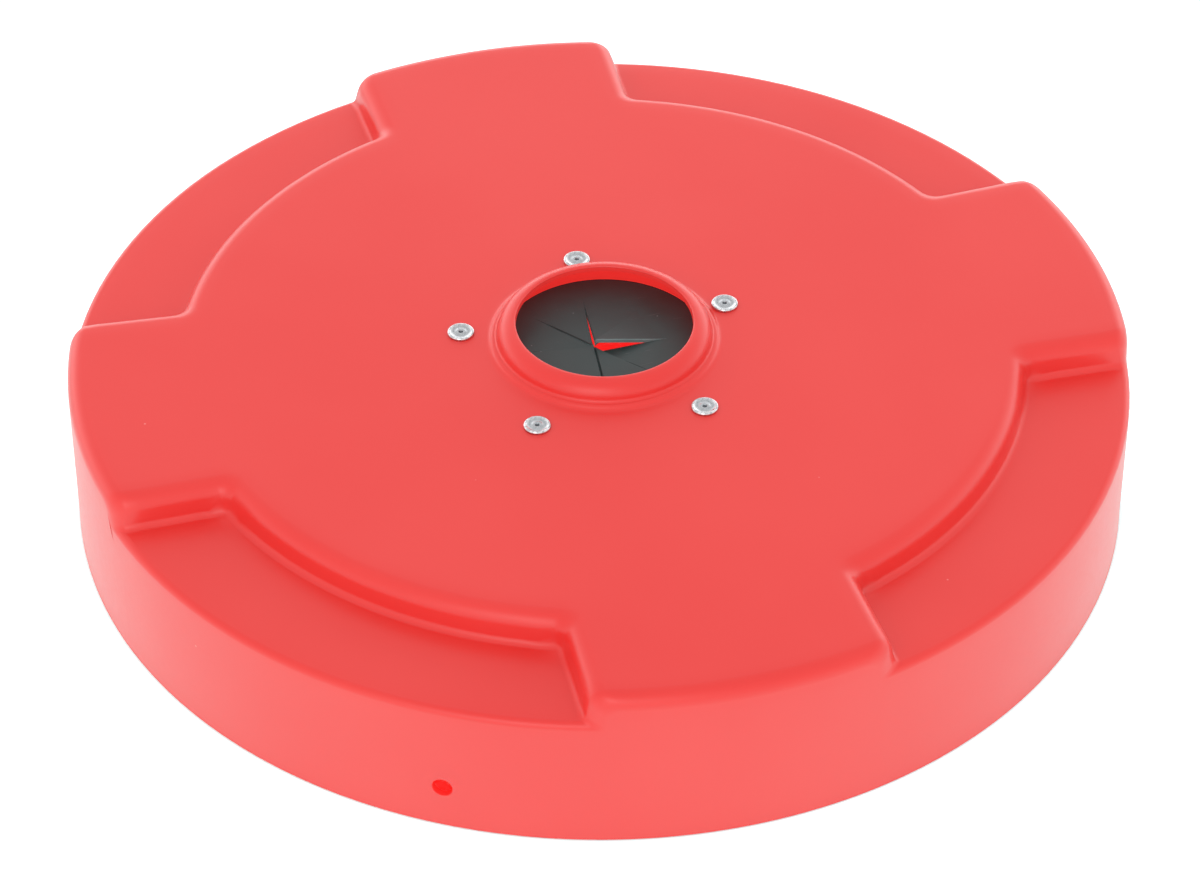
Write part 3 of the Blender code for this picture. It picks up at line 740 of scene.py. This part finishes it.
def make_sheet(joints, rubber, cut_rubber_and_highlight):
    """The part of the sheet outside the slits: an eight-sided opening in a round sheet."""
    middle = sum((Vector(joint["pos_m"]) for joint in joints), Vector()) / len(joints)
    outward, _, _ = slit_frame(joints[0])
    first = Vector((1, 0, 0)).angle(outward) * (1 if outward.y >= 0 else -1) - pi / FLAPS
    per_side = 16
    rings = 10
    stations = FLAPS * per_side
    top, bottom = SHEET_HIGH.z, SHEET_LOW.z
    bevel = 0.3 * MM
    to_edge = Vector((SHEET_CENTRE.x - middle.x, SHEET_CENTRE.y - middle.y, 0))
    vertices = []
    for station in range(stations):
        azimuth = first + 2 * pi * station / stations
        from_side = (2 * pi * station / stations) % (2 * pi / FLAPS) - pi / FLAPS
        ray = polar(1.0, azimuth)
        inner = OPENING_APOTHEM / cos(from_side)
        along = ray.dot(to_edge)
        edge = along + sqrt(SHEET_RADIUS**2 - to_edge.length_squared + along * along)
        reaches = [inner + (edge - bevel - inner) * i / rings for i in range(rings + 1)]
        loop = [(r, top) for r in reaches] + [(edge, top - bevel), (edge, bottom + bevel)]
        loop += [(r, bottom) for r in reversed(reaches)]
        centre = Vector((middle.x, middle.y, 0))
        vertices += [centre + ray * r + Vector((0, 0, z)) for r, z in loop]
    rows = len(vertices) // stations
    # The sheet's cut faces take the light cut-rubber colour, which is partly cut rubber and partly painted
    # highlight.
    finishes = [1 if rings < row < rings + 3 or row == rows - 1 else 0 for row in range(rows)]
    faces = grid_faces(stations, rows, True)
    mesh = make_mesh("rubber_sheet", vertices, faces, [rubber, cut_rubber_and_highlight], finishes * stations)
    sheet = add_piece("rubber_sheet", mesh, 25)
    drill(sheet, rivet_cutters("sheet_hole", cut_rubber_and_highlight, SHEET_CENTRE.z, 4 * SHEET_THICKNESS))
    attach(sheet, "lid")
    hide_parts("diaphragm_rim")


# ---------------------------------------------------------------- rivets


def rivet_profile(low, high):
    """Section of a set blind rivet: rimmed and dished head, shank, and the bulb on the blind side."""
    radius = (high.x - low.x) / 2
    top, bottom = high.z, low.z
    seat = LID_HEIGHT + 0.02 * MM
    bulb_top = bottom + BULB_LENGTH
    head = [(reach, top - depth) for reach, depth in RIVET_HEAD]
    head += [(radius - 0.05 * MM, top - 0.75 * MM), (radius - 0.15 * MM, seat + 0.25 * MM)]
    profile = curve_through(head, 4)
    profile += [(radius - 0.5 * MM, seat), (SHANK_RADIUS, seat), (SHANK_RADIUS, bulb_top)]
    profile += [(3.3 * MM, bulb_top)]
    profile += arc((2.1 * MM, bulb_top - 1.8 * MM), 1.6 * MM, 50, -50, 8)
    profile += [(SHANK_RADIUS + 0.1 * MM, bottom + 1.0 * MM), (SHANK_RADIUS, bottom + 0.2 * MM)]
    profile += [(SHANK_RADIUS - 0.3 * MM, bottom), (BORE_RADIUS, bottom)]
    return profile


def mandrel_profile(low, high):
    """Half section of the mandrel left in a rivet: rough broken end, stem and rounded head."""
    head_top = low.z + 2.4 * MM
    broken = high.z - 1.3 * MM
    profile = [(radius, broken - depth) for radius, depth in BROKEN_END]
    profile += [(STEM_RADIUS, head_top + 0.6 * MM)]
    profile += arc((0.0, head_top - 0.3 * MM), 2.1 * MM, 32, -88, 12)
    profile.append((0.0, low.z))
    return profile


def washer_profile(low, high):
    radius = (high.x - low.x) / 2
    round_edge = 0.3 * MM
    profile = [(RIVET_HOLE_RADIUS, high.z)]
    profile += arc((radius - round_edge, high.z - round_edge), round_edge, 90, 0, 4)
    profile += arc((radius - round_edge, low.z + round_edge), round_edge, 0, -90, 4)
    profile += [(RIVET_HOLE_RADIUS + 0.1 * MM, low.z), (RIVET_HOLE_RADIUS, low.z + 0.1 * MM)]
    return profile


def make_fasteners(aluminium, steel):
    for kind, outline, finish, slot_name in (
        ("rivet", rivet_profile, aluminium, "aluminium"),
        ("mandrel", mandrel_profile, steel, "steel"),
        ("washer", washer_profile, aluminium, "aluminium"),
    ):
        for index in range(RIVETS):
            low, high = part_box(f"{kind}_{index + 1}")
            name = f"set_{kind}_{index + 1}"
            mesh = turned(name, outline(low, high), RIVET_SIDES, finish, closed=kind != "mandrel")
            piece = add_piece(name, mesh, 50)
            piece.location = rivet_place(index)
            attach(piece, "lid")
            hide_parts(f"{kind}_{index + 1}")


# ---------------------------------------------------------------- setting


def look_along(item, target):
    item.rotation_euler = (target - item.location).to_track_quat("-Z", "Y").to_euler()


def add_light_through_wall():
    """A dim red disk under the plate, facing down, for the light that comes through the moulded wall."""
    light = bpy.data.lights.new("light_through_wall", "AREA")
    light.shape = "DISK"
    light.size = WALL_GLOW_SIZE
    light.energy = WALL_GLOW_POWER
    light.color = WALL_GLOW_COLOUR
    lamp = bpy.data.objects.new("light_through_wall", light)
    bpy.context.scene.collection.objects.link(lamp)
    lamp.location.z = PLATE_UNDERSIDE - 10 * MM
    lamp.visible_camera = False


def towards(tree, direction, target):
    """Dot product of a direction and a target direction, at least 0."""
    made = node(tree, "ShaderNodeVectorMath", {"operation": "DOT_PRODUCT"})
    tree.links.new(direction, made.inputs[0])
    made.inputs[1].default_value = target
    return maths(tree, "MAXIMUM", made.outputs["Value"], 0.0)


def light_from_around(tree):
    """White studio walls: even, brighter low down and most at the back, with a soft patch high in front."""
    background = tree.nodes["Background"]
    direction = node(tree, "ShaderNodeTexCoord").outputs["Generated"]
    height = node(tree, "ShaderNodeSeparateXYZ", Vector=direction).outputs["Z"]
    key = towards(tree, direction, polar(cos(KEY_HEIGHT), KEY_AZIMUTH, sin(KEY_HEIGHT)))
    patch = maths(tree, "POWER", key, KEY_FOCUS)
    low_band = remap(tree, height, *(sin(angle) for angle in LOW_BAND), LOW_BAND_LIGHT, 0.0)
    behind = maths(tree, "MULTIPLY", towards(tree, direction, polar(-1.0, FRONT)), BACK_LIGHT)
    low_band = maths(tree, "MULTIPLY", low_band, maths(tree, "ADD", behind, 1.0))
    extra = maths(tree, "ADD", low_band, maths(tree, "MULTIPLY", patch, KEY_LIGHT))
    tree.links.new(maths(tree, "ADD", extra, EVEN_LIGHT), background.inputs["Strength"])
    background.inputs["Color"].default_value = (1.0, 1.0, 1.0, 1.0)


def make_setting():
    """White floor paper, with a faint cyan glow round the lid that cancels the red light it throws."""
    floor_finish, tree, shader = new_finish("floor_paper")
    place = node(tree, "ShaderNodeTexCoord").outputs["Object"]
    grain = noise_field(tree, place, 900.0, 2.0)
    tone = blend_colours(tree, grain, (0.93, 0.93, 0.93), (0.95, 0.95, 0.95))
    tree.links.new(tone, shader.inputs["Base Color"])
    shader.inputs["Roughness"].default_value = 0.9
    shader.inputs["Specular IOR Level"].default_value = 0.0
    distance = node(tree, "ShaderNodeVectorMath", {"operation": "LENGTH"}, Vector=place).outputs["Value"]
    beside = remap(tree, distance, LID_RADIUS - 1 * MM, LID_RADIUS + 2 * MM, 0.0, 1.0)
    fading = remap(tree, distance, LID_RADIUS, 2 * LID_RADIUS, 1.0, 0.4)
    pool = maths(tree, "ADD", towards(tree, place, polar(1.2, FRONT)), 0.62)
    pool = maths(tree, "MINIMUM", pool, 1.1)
    glow = maths(tree, "MULTIPLY", maths(tree, "MULTIPLY", beside, fading), pool)
    tree.links.new(glow, shader.inputs["Emission Strength"])
    shader.inputs["Emission Color"].default_value = (0.15, 1.0, 1.0, 1.0)
    half = FLOOR_HALF_WIDTH
    corners = [(-half, -half, 0), (half, -half, 0), (half, half, 0), (-half, half, 0)]
    mesh = make_mesh("floor", corners, [(0, 1, 2, 3)], [floor_finish])
    floor = add_piece("floor", mesh)
    floor.location.z = cad_low.z - FLOOR_DROP

    world = bpy.data.worlds.new("studio")
    bpy.context.scene.world = world
    world.use_nodes = True
    light_from_around(world.node_tree)

    add_light_through_wall()


def make_camera():
    camera_data = bpy.data.cameras.new("camera")
    camera_data.sensor_width = 36.0
    camera_data.lens = CAMERA_LENS
    camera = bpy.data.objects.new("camera", camera_data)
    bpy.context.scene.collection.objects.link(camera)
    turn = Matrix.Rotation(CAMERA_TURN, 4, "Z")
    camera.location = turn @ CAMERA_PLACE
    look_along(camera, turn @ CAMERA_TARGET)
    camera_data.clip_start = 0.05
    camera_data.clip_end = 60.0
    bpy.context.scene.camera = camera


def build():
    moulded = polyethylene("moulded_polyethylene", 0.015 * MM, 0.31)
    # The inner skin and the trimmed edges carry a painted red glow for light that comes through the wall.
    inside = polyethylene("inner_polyethylene", 0.12 * MM, 0.45, painted_glow=0.45)
    trimmed = polyethylene("trimmed_polyethylene", 0.06 * MM, 0.50, painted_glow=0.15)
    rubber = sheet_rubber("sheet_rubber", 0.036, 0.44)
    # Cut faces of the rubber, made lighter than cut rubber is so that lit edges show a painted highlight.
    cut_rubber_and_highlight = sheet_rubber("cut_rubber_and_highlight", 0.24, 0.60)
    aluminium = formed_metal(
        "rivet_aluminium", (0.90, 0.91, 0.92), (0.40, 0.42, 0.44), 0.24, 0.010 * MM, SHADED_DISH_RADIUS
    )
    steel = formed_metal("mandrel_steel", (0.30, 0.30, 0.31), (0.14, 0.14, 0.15), 0.45, 0.020 * MM)
    joints = frame["joints"]
    make_shell(moulded, inside, trimmed)
    make_sheet(joints, rubber, cut_rubber_and_highlight)
    for number, joint in enumerate(joints, 1):
        make_flap(number, joint, rubber, cut_rubber_and_highlight)
    make_fasteners(aluminium, steel)
    make_setting()
    make_camera()
    bpy.context.scene.view_settings.view_transform = "Standard"


build()
